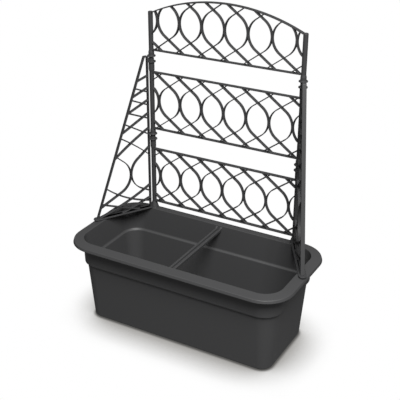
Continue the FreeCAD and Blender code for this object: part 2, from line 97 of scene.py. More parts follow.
def moved(a_skin, matrix):
    """The same skin, turned and shifted by a 4 by 4 matrix."""
    points, faces = a_skin
    m = np.array(matrix)
    return points @ m[:3, :3].T + m[:3, 3], faces


# %% [markdown]
# ## One object from several skins
# A moulding such as a lattice is many bars that run into each other. Each bar stays a closed
# skin of its own and they overlap inside the material, which renders like one solid. Normals
# are turned outwards, edges over a set angle stay sharp, and a Weighted Normal modifier lets
# the large flat faces keep an even shade right up to their rounded edges.

# %% Pieces
SHARP_ANGLE = math.radians(40)


def piece(name, skins, material, node, body="planter"):
    """An object that stands in for a model node, which it hides, rides on its body and takes a
    material.
    """
    counts = np.cumsum([0] + [len(points) for points, _ in skins])
    faces = [[v + start for v in face] for start, (_, part) in zip(counts, skins) for face in part]
    mesh = bpy.data.meshes.new(name)
    mesh.from_pydata(np.concatenate([points for points, _ in skins]).tolist(), [], faces)
    work = bmesh.new()
    work.from_mesh(mesh)
    bmesh.ops.recalc_face_normals(work, faces=work.faces)
    work.to_mesh(mesh)
    work.free()
    mesh.polygons.foreach_set("use_smooth", np.ones(len(mesh.polygons), dtype=bool))
    mesh.set_sharp_from_angle(angle=SHARP_ANGLE)
    mesh.materials.append(material)
    obj = bpy.data.objects.new(name, mesh)
    bpy.context.scene.collection.objects.link(obj)
    even = obj.modifiers.new("even shading", "WEIGHTED_NORMAL")
    even.keep_sharp = True
    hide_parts(node)
    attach(obj, body)
    print(name, "has", len(mesh.polygons), "faces")


# %% [markdown]
# ## Rounded outlines
# A mould never leaves a sharp corner. One function rounds every outline in this file: it takes
# the corners with a radius each and returns points along the straight sides and round arcs. An
# arc of radius r touches both sides at r / tan(half the corner's angle) from the corner.

# %% Rounded outlines
ARC_STEPS = 6


def rounded(corners, closed=True, steps=ARC_STEPS):
    """Points of a polygon whose (a, b, radius) corners are replaced by arcs."""
    spots = np.array([c[:2] for c in corners], float)
    points = []
    for k, (_, _, radius) in enumerate(corners):
        here = spots[k]
        if radius == 0 or (not closed and k in (0, len(corners) - 1)):
            points.append(here[None])
            continue
        into = spots[k - 1] - here
        out = spots[(k + 1) % len(spots)] - here
        into /= np.linalg.norm(into)
        out /= np.linalg.norm(out)
        half = math.acos(np.clip(into @ out, -1, 1)) / 2
        bisector = (into + out) / np.linalg.norm(into + out)
        centre = here + bisector * radius / math.sin(half)
        start = here + into * radius / math.tan(half) - centre
        end = here + out * radius / math.tan(half) - centre
        share = np.linspace(0, 1, steps)[:, None]
        turn = math.pi - 2 * half
        arc = (start * np.sin((1 - share) * turn) + end * np.sin(share * turn)) / math.sin(turn)
        points.append(centre + arc)
    return np.concatenate(points)


# %% [markdown]
# ## The plastic
# The whole planter is one dark grey plastic with a dull sheen. Moulds are etched, so the
# surface has a very fine grain: noise drives a bump a few hundredths of a millimetre high, and
# larger, weaker noise lets the roughness drift, because no moulded wall is polished evenly. Both
# finishes use that grain, so it is one node group with its own inputs.

# %% Grain group
PIT_DETAIL = 3.0
DRIFT_PER_METRE, DRIFT_DETAIL = 14.0, 2.0
NOISE_MEAN = 0.5


def build_grain():
    """Node group: fine pits and slow drift, from Object coordinates in metres."""
    group = bpy.data.node_groups.new("mould grain", "ShaderNodeTree")
    for socket, kind, default in (("Pits per metre", "NodeSocketFloat", 900.0),
                                  ("Pit height", "NodeSocketFloat", 0.5),
                                  ("Roughness", "NodeSocketFloat", 0.5),
                                  ("Roughness drift", "NodeSocketFloat", 0.08)):
        entry = group.interface.new_socket(socket, in_out="INPUT", socket_type=kind)
        entry.default_value = default
    group.interface.new_socket("Height", in_out="OUTPUT", socket_type="NodeSocketFloat")
    group.interface.new_socket("Roughness", in_out="OUTPUT", socket_type="NodeSocketFloat")
    nodes, links = group.nodes, group.links
    given = nodes.new("NodeGroupInput")
    result = nodes.new("NodeGroupOutput")
    place = nodes.new("ShaderNodeTexCoord")
    pits = nodes.new("ShaderNodeTexNoise")
    pits.inputs["Detail"].default_value = PIT_DETAIL
    drift = nodes.new("ShaderNodeTexNoise")
    drift.inputs["Scale"].default_value = DRIFT_PER_METRE
    drift.inputs["Detail"].default_value = DRIFT_DETAIL
    links.new(place.outputs["Object"], pits.inputs["Vector"])
    links.new(place.outputs["Object"], drift.inputs["Vector"])
    links.new(given.outputs["Pits per metre"], pits.inputs["Scale"])
    height = nodes.new("ShaderNodeMath")
    height.operation = "MULTIPLY"
    links.new(pits.outputs["Fac"], height.inputs[0])
    links.new(given.outputs["Pit height"], height.inputs[1])
    links.new(height.outputs[0], result.inputs["Height"])
    centred = nodes.new("ShaderNodeMath")
    centred.operation = "SUBTRACT"
    centred.inputs[1].default_value = NOISE_MEAN
    links.new(drift.outputs["Fac"], centred.inputs[0])
    mixed = nodes.new("ShaderNodeMath")
    mixed.operation = "MULTIPLY_ADD"
    links.new(centred.outputs[0], mixed.inputs[0])
    links.new(given.outputs["Roughness drift"], mixed.inputs[1])
    links.new(given.outputs["Roughness"], mixed.inputs[2])
    links.new(mixed.outputs[0], result.inputs["Roughness"])
    return group


grain = build_grain()
print("grain group inputs:", [s.name for s in grain.interface.items_tree if s.in_out == "INPUT"])

# %% Plastic materials
BUMP_DISTANCE = 0.06 * MM


def plastic(name, colour, roughness, specular, pits_per_metre, pit_height):
    """Moulded plastic of one colour with the grain group's pits and drift."""
    material = bpy.data.materials.new(name)
    material.use_nodes = True
    nodes, links = material.node_tree.nodes, material.node_tree.links
    shader = nodes["Principled BSDF"]
    shader.inputs["Base Color"].default_value = (*colour, 1.0)
    shader.inputs["Specular IOR Level"].default_value = specular
    surface = nodes.new("ShaderNodeGroup")
    surface.node_tree = grain
    surface.inputs["Pits per metre"].default_value = pits_per_metre
    surface.inputs["Pit height"].default_value = pit_height
    surface.inputs["Roughness"].default_value = roughness
    bump = nodes.new("ShaderNodeBump")
    bump.inputs["Distance"].default_value = BUMP_DISTANCE
    links.new(surface.outputs["Height"], bump.inputs["Height"])
    links.new(surface.outputs["Roughness"], shader.inputs["Roughness"])
    links.new(bump.outputs["Normal"], shader.inputs["Normal"])
    return material


tub_plastic = plastic("tub plastic", (0.051, 0.051, 0.052), roughness=0.5, specular=0.5,
                      pits_per_metre=900.0, pit_height=1.0)
trellis_plastic = plastic("trellis plastic", (0.040, 0.040, 0.041), roughness=0.58, specular=0.35,
                          pits_per_metre=1400.0, pit_height=0.6)
print("materials:", [material.name for material in (tub_plastic, trellis_plastic)])

# %% [markdown]
# ## The tub
# The tub is one moulding whose wall has the same section all the way round: a foot, a tapering
# lower wall, a step outwards, a band, and a flange that slopes down to a turned lip. So the
# section is drawn once, as distance in from the rim's outline and height, and carried round the
# rounded rectangle of the rim. At a corner the section turns about the corner's centre, and
# because every inset is measured along the section, all the corners stay concentric. The rim,
# the step and the strut are drawn here a few millimetres closer to the picture than the packed
# model has them.

# %% Tub section
RIM_CORNER = 100 * MM
FLANGE = 37 * MM
RIM_FALL = 5.4 * MM
LIP = 9.6 * MM
LIP_LEAN = 3 * MM
WALL = 3.5 * MM
BAND_DRAFT = 2.5 * MM
STEP_HEIGHT = 205 * MM
STEP_IN = 9 * MM
STEP_RISE = 8 * MM
LEDGE_IN, LEDGE_DROP, STEP_DROP = 6.5 * MM, 3.5 * MM, 0.5 * MM
BASE_INSET = 61.5 * MM
BASE_RING = 16 * MM
FLOOR_LOW, FLOOR_TOP = 4 * MM, 8 * MM
half_length, half_width = tub_high.x, tub_high.y
rim_top = tub_high.z
ledge = STEP_HEIGHT + STEP_RISE


def lower_inset(z):
    """The lower wall's outer face, in from the rim's outline, at a height."""
    step_foot = FLANGE - WALL + BAND_DRAFT + STEP_IN
    return BASE_INSET + (step_foot - BASE_INSET) * z / STEP_HEIGHT


def band_inset(z):
    """The same for the band above the step."""
    return FLANGE - WALL + BAND_DRAFT * (rim_top - z) / (rim_top - ledge)


def flange_height(inset):
    """The flange's upper face, which falls towards the rim's outline."""
    return rim_top - RIM_FALL * (1 - inset / FLANGE)


under_flange = flange_height(FLANGE - WALL) - WALL
lip_bottom = flange_height(0) - LIP
# Each corner: distance in from the rim's outline, height, and radius of its rounding. The first
# ten go up the outside and over the rim, and the rest come down the inside.
section = rounded([
    (BASE_INSET + BASE_RING, 0, 0),
    (lower_inset(0), 0, 8 * MM),
    (lower_inset(STEP_HEIGHT), STEP_HEIGHT, 2 * MM),
    (band_inset(ledge), ledge, 3 * MM),
    (band_inset(under_flange), under_flange, WALL),
    (LIP_LEAN + WALL, flange_height(LIP_LEAN + WALL) - WALL, 1.2 * MM),
    (WALL, lip_bottom, 0.8 * MM),
    (0, lip_bottom, 1.2 * MM),
    (LIP_LEAN, flange_height(LIP_LEAN), 2.5 * MM),
    (FLANGE, rim_top, 2 * MM),
    (band_inset(ledge) + LEDGE_IN, ledge - LEDGE_DROP, 8 * MM),
    (lower_inset(STEP_HEIGHT) + WALL, STEP_HEIGHT - STEP_DROP, 4 * MM),
    (lower_inset(FLOOR_TOP) + WALL, FLOOR_TOP, 12 * MM),
    (BASE_INSET + BASE_RING, FLOOR_TOP, 0),
])
print("the tub's section has", len(section), "points")

# %% Carry the section round the rim
CORNER_STEPS = 24


def round_the_rim(inset):
    """(stations, insets, 2) points: corner centre + (corner radius - inset) x (cos t, sin t)."""
    quarter = np.arange(4)[:, None]
    turn = (quarter + np.linspace(0, 1, CORNER_STEPS)) * math.pi / 2
    side_x = np.where(np.isin(quarter, (0, 3)), 1, -1) * (half_length - RIM_CORNER)
    side_y = np.where(np.isin(quarter, (0, 1)), 1, -1) * (half_width - RIM_CORNER)
    radius = RIM_CORNER - np.asarray(inset)[None, :]
    x = (side_x + 0 * turn).reshape(-1, 1) + radius * np.cos(turn).reshape(-1, 1)
    y = (side_y + 0 * turn).reshape(-1, 1) + radius * np.sin(turn).reshape(-1, 1)
    return np.stack([x, y], axis=-1)


plan = round_the_rim(section[:, 0])
heights = np.broadcast_to(section[:, 1], plan.shape[:2])[..., None]
tub_wall = skin(np.concatenate([plan, heights], axis=-1), wrap_rows=True)
print("the tub's wall has", len(tub_wall[1]), "faces")

# %% [markdown]
# ## The raised floor and its drain holes
# Inside the ring that the tub stands on, the floor is a flat plate a few millimetres up, with
# round drain holes. A flat plate with holes is easiest as outlines: Blender's tessellate_polygon
# fills the space between the outer loop and the holes, once for each face of the plate, and every
# loop gets a wall.

# %% Floor plate
DRAIN_RADIUS = 5 * MM
DRAIN_PITCH = (170 * MM, 130 * MM)
FLOOR_OVERLAP = 0.2 * MM


def circle(x, y, radius, steps=32):
    """Points (x + radius cos t, y + radius sin t) once round."""
    turn = np.arange(steps) * 2 * math.pi / steps
    return np.column_stack([x + radius * np.cos(turn), y + radius * np.sin(turn)])


def holed_plate(outline, holes, low, high):
    """Both faces of a flat plate with holes, and a wall along every loop."""
    loops = [outline] + holes
    triangles = tessellate_polygon([[Vector((x, y, 0)) for x, y in loop] for loop in loops])
    flat = np.concatenate(loops)
    count = len(flat)
    points = np.concatenate([np.column_stack([flat, np.full(count, z)]) for z in (low, high)])
    faces = [list(t) for t in triangles] + [[v + count for v in t] for t in triangles]
    start = 0
    for loop in loops:
        here = start + np.arange(len(loop))
        after = start + (np.arange(len(loop)) + 1) % len(loop)
        faces += np.column_stack([here, after, after + count, here + count]).tolist()
        start += len(loop)
    return points, faces


drain_middle = (half_length - BASE_INSET) / 2
drain_x, drain_y = DRAIN_PITCH[0] / 2, DRAIN_PITCH[1] / 2
drains = [circle(side * drain_middle + i * drain_x, j * drain_y, DRAIN_RADIUS)
          for side in (-1, 1) for i in (-1, 1) for j in (-1, 1)]
floor_outline = round_the_rim([BASE_INSET + BASE_RING - FLOOR_OVERLAP])[:, 0]
tub_floor = holed_plate(floor_outline, drains, FLOOR_LOW, FLOOR_TOP)
print("drain holes:", len(drains))

# %% [markdown]
# ## Seats and sockets for the posts
# Each post stands on a round seat raised from the sloping flange, and its peg goes down a tube
# that hangs under the flange. Both are turned shapes: an outline of radius and height, spun
# about the post's axis.

# %% Turned shapes
post_low, post_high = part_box("right_post_lower")
post_x = (post_low.x + post_high.x) / 2
post_y = (post_low.y + post_high.y) / 2
TURN_STEPS = 48


def turned(profile, x, y, closed=False):
    """Skin of (radius, height) points spun about a vertical axis; an open one gets flat ends."""
    turn = np.arange(TURN_STEPS) * 2 * math.pi / TURN_STEPS
    radius, height = profile[:, 0:1], profile[:, 1:2]
    round_x, round_y = x + radius * np.cos(turn), y + radius * np.sin(turn)
    grid = np.stack([round_x, round_y, height + 0 * turn], axis=-1)
    return skin(grid, wrap_rows=closed, capped=not closed)


SEAT_RADIUS = 15.5 * MM
SEAT_SIDE, SEAT_DEPTH = 7 * MM, 8 * MM
SOCKET_BORE, SOCKET_OUTSIDE = 6.15 * MM, 11.15 * MM
SOCKET_DEPTH = 42 * MM
socket_bottom = rim_top - SOCKET_DEPTH
# Each corner: distance from the post's axis, height, and radius of its rounding.
seat_profile = rounded([
    (SOCKET_BORE, socket_bottom, 0),
    (SOCKET_OUTSIDE, socket_bottom, 1 * MM),
    (SOCKET_OUTSIDE, rim_top - SEAT_DEPTH, 1 * MM),
    (SEAT_RADIUS, rim_top - SEAT_SIDE, 0),
    (SEAT_RADIUS, rim_top, 1 * MM),
    (SOCKET_BORE, rim_top, 0),
])
seats = [turned(seat_profile, x, post_y, closed=True) for x in (-post_x, post_x)]
print("the posts' axes stand at x =", [round(-post_x, 3), round(post_x, 3)])

# %% Webs that tie the sockets to the wall
WEB = 4 * MM


def bar_box(low, high):
    """Skin of a plain box between two corners."""
    x = np.array([low[0], high[0], high[0], low[0]])
    y = np.array([low[1], low[1], high[1], high[1]])
    grid = np.stack([np.column_stack([x, y, np.full(4, z)]) for z in (low[2], high[2])])
    return skin(grid, capped=True)


web_wall = half_width - band_inset(socket_bottom) - WALL / 2
webs = [bar_box((x - WEB / 2, web_wall, socket_bottom),
                (x + WEB / 2, post_y - SOCKET_BORE, under_flange)) for x in (-post_x, post_x)]
print("webs:", len(webs))

# %% [markdown]
# ## The strut
# A shallow channel crosses the middle of the tub and keeps its long walls from spreading. Its
# sides lean in on their way down. Near each wall its two lips rise to the rim in an arc, and as
# they follow the lean of the sides they spread a little too. The channel is one outline,
# carried from wall to wall, whose lips are stretched at every station by that station's rise.

# %% Strut
STRUT_TOP = 289 * MM
STRUT_HALF = 11.5 * MM
LIP_WIDTH = 7.2 * MM
CHANNEL = 8 * MM
CHANNEL_THICK = 2 * MM
STRUT_ROUND, LIP_INNER_ROUND = 1 * MM, 1.6 * MM
LEAN = math.tan(math.radians(6))
RISE, RISE_RUN = 8 * MM, 14 * MM
RISE_STATIONS = 8
channel_floor = STRUT_TOP - CHANNEL
strut_bottom = channel_floor - CHANNEL_THICK


def strut_half(z):
    """Half the strut's width between its leaning sides at a height."""
    return STRUT_HALF - (STRUT_TOP - z) * LEAN


strut_section = rounded([
    (-strut_half(strut_bottom), strut_bottom, STRUT_ROUND),
    (strut_half(strut_bottom), strut_bottom, STRUT_ROUND),
    (STRUT_HALF, STRUT_TOP, STRUT_ROUND),
    (STRUT_HALF - LIP_WIDTH, STRUT_TOP, LIP_INNER_ROUND),
    (STRUT_HALF - LIP_WIDTH, channel_floor, STRUT_ROUND),
    (LIP_WIDTH - STRUT_HALF, channel_floor, STRUT_ROUND),
    (LIP_WIDTH - STRUT_HALF, STRUT_TOP, LIP_INNER_ROUND),
    (-STRUT_HALF, STRUT_TOP, STRUT_ROUND),
])
inner_edge = half_width - FLANGE
arc_turn = np.linspace(0, math.pi / 2, RISE_STATIONS)
arc_way = inner_edge - RISE_RUN + RISE_RUN * np.sin(arc_turn)
half_way = np.concatenate([[0], arc_way, [inner_edge + WALL / 2]])
half_rise = np.concatenate([[0], RISE * (1 - np.cos(arc_turn)), [RISE]])
station_y = np.concatenate([-half_way[:0:-1], half_way])[:, None]
rise = np.concatenate([half_rise[:0:-1], half_rise])[:, None]
lip_share = np.clip((strut_section[:, 1] - channel_floor) / CHANNEL, 0, 1)[None, :]
flat_x, flat_z = strut_section[None, :, 0], strut_section[None, :, 1]
strut_x = flat_x + np.sign(flat_x) * rise * lip_share * LEAN
strut_z = flat_z + rise * lip_share
strut = skin(np.stack(np.broadcast_arrays(strut_x, station_y, strut_z), axis=-1), capped=True)
piece("tub", [tub_wall, tub_floor, strut] + seats + webs, tub_plastic, "tub")

# %% [markdown]
# ## Bars and strips
# Every bar of the lattice is a small rectangle with rounded edges carried along a line in a flat
# panel. The line may be straight, an arc or a bent strip. Each station gives a point of the line
# and the direction across it, and the section's two coordinates run along that direction and
# through the panel's thickness.

# %% Carry a bar along a line
EDGE = 0.7 * MM
EDGE_STEPS = 4


def bar_section(width, depth):
    """Rounded rectangle as (across, through) points."""
    a, b = width / 2, depth / 2
    return rounded([(-a, -b, EDGE), (a, -b, EDGE), (a, b, EDGE), (-a, b, EDGE)], steps=EDGE_STEPS)


def carried(line, width, depth, closed=False):
    """Bar along (x, z) points: point + across x the line's normal, through along y."""
    if closed:
        along = np.roll(line, -1, axis=0) - np.roll(line, 1, axis=0)
    else:
        along = np.gradient(line, axis=0)
    along /= np.linalg.norm(along, axis=1)[:, None]
    across = np.column_stack([-along[:, 1], along[:, 0]])
    outline = bar_section(width, depth)
    flat = line[:, None, :] + across[:, None, :] * outline[None, :, 0:1]
    through = np.broadcast_to(outline[:, 1], flat.shape[:2])
    grid = np.stack([flat[..., 0], through, flat[..., 1]], axis=-1)
    return skin(grid, wrap_rows=closed, capped=not closed)


# %% [markdown]
# ## The bent strips
# Two strips lean back to back against each other at each node of the lattice, like ")(".
# From the node a strip turns along an arc and then runs straight on, so its sideways distance
# after a run s is r (1 - cos(s / r)) on the arc and grows by a fixed slope after it. Sampling
# that formula and keeping only what lies inside the panel trims it to the posts, the bars and
# the arch alike.

# %% Strip line
STRIP = 3.5 * MM
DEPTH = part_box("lattice_lower")[1].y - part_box("lattice_lower")[0].y
BEND_RADIUS = 59.5 * MM
BEND_TURN = math.radians(54)
OVERLAP = 0.8 * MM
NODE_OFFSET = (STRIP - OVERLAP) / 2
LONGEST_RUN = 0.4
RUN_SAMPLES = 1600
BEND_STATIONS = 37


def bent_line(run, radius, turn_up, turn_down):
    """Sideways distance and height of a strip's middle line, for runs from its node."""
    turn = np.where(run >= 0, turn_up, turn_down)
    bend = np.clip(np.abs(run) / radius, 0, turn)
    straight = np.maximum(np.abs(run) - radius * turn, 0)
    sideways = radius * (1 - np.cos(bend)) + straight * np.sin(turn)
    height = radius * np.sin(bend) + straight * np.cos(turn)
    return sideways, np.sign(run) * height


def strip_line(node, side, inside, radius=BEND_RADIUS, turn_up=BEND_TURN, turn_down=BEND_TURN):
    """Pieces of the strip at a node that lie inside; side is 1 for ")" and -1 for "("."""

    def points_at(runs):
        sideways, height = bent_line(runs, radius, turn_up, turn_down)
        return np.column_stack([node[0] - side * (NODE_OFFSET + sideways), node[1] + height])

    below = -np.linspace(LONGEST_RUN, 0, RUN_SAMPLES, endpoint=False)
    run = np.concatenate([below, np.linspace(0, LONGEST_RUN, RUN_SAMPLES + 1)])
    kept = inside(*points_at(run).T)
    edges = np.flatnonzero(np.diff(np.concatenate([[0], kept.astype(int), [0]])))
    lines = []
    for first, last in edges.reshape(-1, 2):
        begin, end = run[first], run[last - 1]
        bends = np.linspace(-turn_down, turn_up, BEND_STATIONS) * radius
        stations = np.unique(np.concatenate([[begin, end], np.clip(bends, begin, end)]))
        lines.append(points_at(stations))
    return [line for line in lines if len(line) > 1]


# %% [markdown]
# ## The three panels
# The lower and the middle panel are alike. The top one ends in an arch, whose middle line is a
# circle through both posts and the crown. Strips of one family are a hair thinner than those of
# the other, as where two mould halves meet, so that crossing faces never lie in one plane.

# %% Panels
BAR = 4 * MM
BAR_SPACING = 200 * MM
BAR_INTO_POST = 1.5 * MM
NODE_PITCH = 82 * MM
POST_RADIUS = 8 * MM
THINNER = 0.35 * MM
ARCH_FOOT = 998 * MM
ARCH_STATIONS = 61
bar_end = post_x - POST_RADIUS + BAR_INTO_POST
arch_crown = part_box("lattice_upper")[1].z - BAR / 2
arch_rise = arch_crown - ARCH_FOOT
arch_radius = (post_x ** 2 + arch_rise ** 2) / (2 * arch_rise)


def arch_height(x):
    """Height of the arch's middle line at x."""
    return arch_crown - arch_radius + np.sqrt(arch_radius ** 2 - x ** 2)


def panel(name, arched):
    """One lattice panel behind the tub, from its bars and its strips."""
    low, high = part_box(name)
    bottom = low.z + BAR / 2
    top = bottom + BAR_SPACING
    middle = (bottom + top) / 2

    def inside(x, z):
        ceiling = arch_height(np.clip(x, -post_x, post_x)) if arched else top
        return (np.abs(x) < bar_end) & (z > bottom) & (z < ceiling)

    ends = np.array([-bar_end, bar_end])
    skins = [carried(np.column_stack([ends, [bottom, bottom]]), BAR, DEPTH)]
    if arched:
        x = np.linspace(-bar_end, bar_end, ARCH_STATIONS)
        skins.append(carried(np.column_stack([x, arch_height(x)]), BAR, DEPTH))
    else:
        skins.append(carried(np.column_stack([ends, [top, top]]), BAR, DEPTH))
    last = math.ceil(post_x / NODE_PITCH)
    for k in range(-last, last + 1):
        for side in (-1, 1):
            for line in strip_line((k * NODE_PITCH, middle), side, inside):
                skins.append(carried(line, STRIP, DEPTH - THINNER * (1 if side > 0 else 2)))
    shift = Matrix.Translation((0, (low.y + high.y) / 2, 0))
    piece(name, [moved(s, shift) for s in skins], trellis_plastic, name)


panel("lattice_lower", arched=False)
panel("lattice_middle", arched=False)
panel("lattice_upper", arched=True)

# %% [markdown]
# ## The posts
# Each post is three tubes plugged together. A tube swells into a sleeve above and below its
# panel and ends in a collar, and between two collars a thin neck is left bare for the braces'
# clips. All of it is turned, so a post is again an outline of radius and height.

# %% Post outlines
SLEEVE, COLLAR, NECK = 9.75 * MM, 14.5 * MM, 6 * MM
COLLAR_THICK = 4 * MM
SLEEVE_TAPER = 8 * MM
SPIGOT, SPIGOT_SHOWN, PEG = 40 * MM, 17 * MM, 40 * MM
FOOT_EDGE, FOOT_FLARE = 2 * MM, 22 * MM
TIP = 1 * MM

# Each corner below: distance from the post's axis, height, and radius of its rounding.


def lower_end(face_height, bar):
    """Spigot, neck, collar and sleeve under a tube's bottom bar."""
    return [
        (NECK, face_height - SPIGOT_SHOWN, 0),
        (NECK, face_height, 0.8 * MM),
        (COLLAR, face_height, 1.2 * MM),
        (COLLAR, face_height + COLLAR_THICK, 1.2 * MM),
        (SLEEVE, face_height + COLLAR_THICK, 1.5 * MM),
        (SLEEVE, bar - SLEEVE_TAPER, 6 * MM),
        (POST_RADIUS, bar, 6 * MM),
    ]


def upper_end(bar, face_height):
    """Sleeve and collar over a tube's top bar."""
    return [
        (POST_RADIUS, bar, 6 * MM),
        (SLEEVE, bar + SLEEVE_TAPER, 6 * MM),
        (SLEEVE, face_height - COLLAR_THICK, 1.5 * MM),
        (COLLAR, face_height - COLLAR_THICK, 1.2 * MM),
        (COLLAR, face_height, 1.2 * MM),
        (NECK, face_height, 0),
    ]


def foot():
    """Peg in the socket and flared foot on the rim."""
    return [
        (NECK, rim_top - PEG, 0),
        (NECK, rim_top, 0),
        (COLLAR, rim_top, 0.6 * MM),
        (COLLAR, rim_top + FOOT_EDGE, 1.2 * MM),
        (POST_RADIUS, rim_top + FOOT_FLARE, 12 * MM),
    ]


# %% Posts
panel_bars = {}
for level in ("lower", "middle", "upper"):
    lower_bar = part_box("lattice_" + level)[0].z + BAR / 2
    panel_bars[level] = (lower_bar, lower_bar + BAR_SPACING)


def post(side, level):
    """One tube of a post, from the heights of the panel beside it."""
    node = side + "_post_" + level
    low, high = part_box(node)
    bottom, top = panel_bars[level]
    outline = foot() if level == "lower" else lower_end(low.z + SPIGOT, bottom)
    if level == "upper":
        outline += [(POST_RADIUS, high.z, 2.5 * MM), (TIP, high.z, 0)]
    else:
        outline += upper_end(top, high.z)
    x = post_x if side == "right" else -post_x
    piece(node, [turned(rounded(outline, closed=False), x, post_y)], trellis_plastic, node)


for side in ("left", "right"):
    for level in panel_bars:
        post(side, level)

# %% [markdown]
# ## The side braces
# A brace is drawn flat, with the post's axis as its left edge, and then turned about that axis
# into place. Its frame is one bar carried round a rounded outline: an upright, a slanting bar, a
# short top and the base. Rungs cross the narrow upper part, and lower down two strips touch back
# to back as in the panels.

# %% Brace frame
BRACE_TURN = math.radians(30.5)
UPRIGHT = 17 * MM
TOP_REACH = 29 * MM
brace_low, brace_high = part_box("right_brace")
brace_base = brace_low.z + BAR / 2
brace_top = brace_high.z - BAR / 2
PAD_RADIUS, PAD_BEYOND_FRAME = 13 * MM, 1 * MM
FRAME_ROUND = 2.2 * MM
pad_reach = (brace_high.x - PAD_RADIUS - post_x) / math.sin(BRACE_TURN)
foot_reach = pad_reach - PAD_BEYOND_FRAME


def slant(z):
    """Distance from the post's axis to the slanting bar at height z."""
    return TOP_REACH + (foot_reach - TOP_REACH) * (brace_top - z) / (brace_top - brace_base)


frame_line = rounded([
    (UPRIGHT, brace_base, FRAME_ROUND),
    (slant(brace_base), brace_base, FRAME_ROUND),
    (TOP_REACH, brace_top, FRAME_ROUND),
    (UPRIGHT, brace_top, FRAME_ROUND),
])
brace_skins = [carried(frame_line, BAR, DEPTH, closed=True)]
print("the brace reaches", round(pad_reach / MM), "mm from the post")

# %% Rungs and sagging strips
BOW = 4 * MM
# Rungs: share up at the upright, share up at the slanting bar, and upward bow.
RUNGS = [
    (0.881, 0.853, 0), (0.805, 0.758, 0), (0.727, 0.658, 0), (0.642, 0.537, 0),
    (0.544, 0.378, BOW), (0.776, 0.812, 0), (0.694, 0.741, 0), (0.607, 0.663, 0),
    (0.502, 0.595, 0), (0.365, 0.508, BOW),
]
# Sagging strips: shares across and up of one end, a middle point and the other end.
SAGS = [
    ((0.000, 0.159), (0.350, 0.088), (0.995, 0.001)),
    ((0.820, 0.195), (0.442, 0.101), (0.000, 0.046)),
    ((0.000, 0.070), (0.184, 0.045), (0.539, 0.001)),
    ((0.913, 0.092), (0.655, 0.057), (0.209, 0.001)),
]


def place(across, up):
    """Point of the brace from shares of its reach and its height."""
    reach = UPRIGHT + (foot_reach - UPRIGHT) * across
    return np.array([reach, brace_base + (brace_top - brace_base) * up])


def through_three(a, b, c, steps=17):
    """Points of the circle through three points, by its centre and the angles seen from there."""
    sides = np.array([b - a, c - a])
    centre = a + np.linalg.solve(2 * sides, (sides ** 2).sum(axis=1))
    angle = np.unwrap([math.atan2(*(p - centre)[::-1]) for p in (a, b, c)])
    turn = np.linspace(angle[0], angle[2], steps)
    radius = np.linalg.norm(a - centre)
    return centre + radius * np.column_stack([np.cos(turn), np.sin(turn)])


for at_upright, at_slant, bow in RUNGS:
    a, b = place(0, at_upright), place(0, at_slant)
    b[0] = slant(b[1])
    line = through_three(a, (a + b) / 2 + (0, bow), b) if bow else np.array([a, b])
    brace_skins.append(carried(line, STRIP, DEPTH - THINNER))
for sag in SAGS:
    line = through_three(*[place(*p) for p in sag])
    brace_skins.append(carried(line, STRIP, DEPTH - 2 * THINNER))
print("rungs and sagging strips:", len(RUNGS), len(SAGS))

# %% Back to back strips of the brace
BRACE_NODE = place(0.350, 0.255)
BRACE_BEND = 68 * MM
TURN_UP, TURN_DOWN = math.radians(50), math.radians(63)


def inside_brace(x, z):
    """Whether points lie between the upright, the base and the slanting bar."""
    return (x > UPRIGHT) & (z > brace_base) & (x < slant(z))


for side in (-1, 1):
    for line in strip_line(BRACE_NODE, side, inside_brace, BRACE_BEND, TURN_UP, TURN_DOWN):
        brace_skins.append(carried(line, STRIP, DEPTH - THINNER * (1 if side > 0 else 1.5)))
print("a brace has", len(brace_skins), "bars and strips")

# %% [markdown]
# ## Base plate and clips
# The brace stands on a flat plate with a round end that lies on the rim. Two open rings snap
# round the necks of the post. The plate is an outline with a rounded edge: ring after ring of
# points, each drawn in a little further than the last, and closed by a flat face above and below.

# %% Base plate
BASE_WIDTH = 25.6 * MM
PLATE_EDGE = 1 * MM
PAD_STEPS = 40


def base_outline(inset):
    """Straight strip with a larger round end, drawn in by an inset."""
    half = BASE_WIDTH / 2 - inset
    radius = PAD_RADIUS - inset
    meet = math.asin(half / radius)
    turn = np.linspace(-math.pi + meet, math.pi - meet, PAD_STEPS)
    pad = np.column_stack([pad_reach + radius * np.cos(turn), radius * np.sin(turn)])
    start = UPRIGHT - BAR / 2 + inset
    return np.concatenate([pad, [[start, half], [start, -half]]])


quarter = np.linspace(0, math.pi / 2, 5)
edge_inset = np.concatenate([
    PLATE_EDGE * (1 - np.sin(quarter)),
    PLATE_EDGE * (1 - np.cos(quarter)),
])
edge_height = np.concatenate([
    brace_low.z + PLATE_EDGE * (1 - np.cos(quarter)),
    brace_low.z + BAR - PLATE_EDGE * (1 - np.sin(quarter)),
])
plate_rings = np.stack([base_outline(inset) for inset in edge_inset])
plate_heights = np.broadcast_to(edge_height[:, None], plate_rings.shape[:2])[..., None]
plate = skin(np.concatenate([plate_rings, plate_heights], axis=-1), capped=True)
brace_skins.append(plate)
print("the base plate has", len(plate[1]), "faces")

# %% Clips
CLIP_INSIDE, CLIP_WALL, CLIP_HEIGHT = 6.1 * MM, 2.7 * MM, 11 * MM
MOUTH = 9 * MM
CLIP_STEPS = 40
CLIP_WEB, CLIP_WEB_SHORTER, CLIP_GAP = 4 * MM, 0.4 * MM, 0.3 * MM


